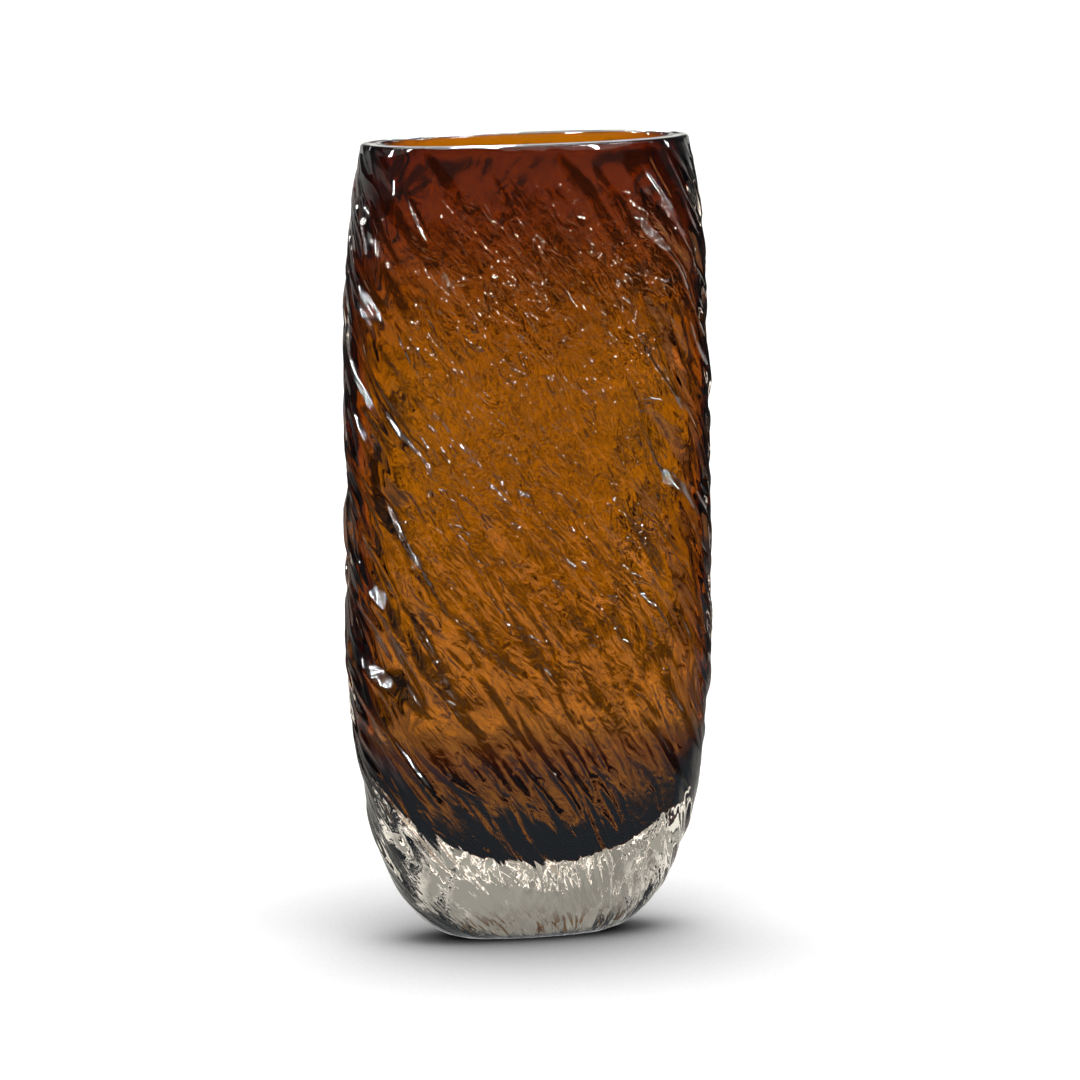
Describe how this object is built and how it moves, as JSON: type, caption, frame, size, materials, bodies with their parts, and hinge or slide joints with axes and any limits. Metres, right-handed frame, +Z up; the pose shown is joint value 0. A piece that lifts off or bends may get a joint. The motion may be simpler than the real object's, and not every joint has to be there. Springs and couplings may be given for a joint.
{
  "type": "cased glass vase",
  "caption": "Tall flattened-oval vase of thick cased glass, with a bark-textured clear outer layer over an amber inner layer and a heavy clear base.",
  "frame": {"origin": "centre of the flat ground foot, on the surface the vase stands on", "axes": "+Z up along the vase's axis to the rim, +X along the wide side of the flattened body, +Y from front to back through its shallow side"},
  "size_m": [0.117, 0.048, 0.25],
  "materials": {
    "clear_glass": "clear glass with a faint warm grey tint, fire-polished bark-like relief outside, ground and polished rim and foot",
    "amber_glass": "transparent amber glass, smooth and glossy inside, darker towards the rim and nearly black where it is thick under the cavity"
  },
  "bodies": {
    "root": {"clear_casing": "clear_glass", "amber_liner": "amber_glass"}
  },
  "joints": []
}
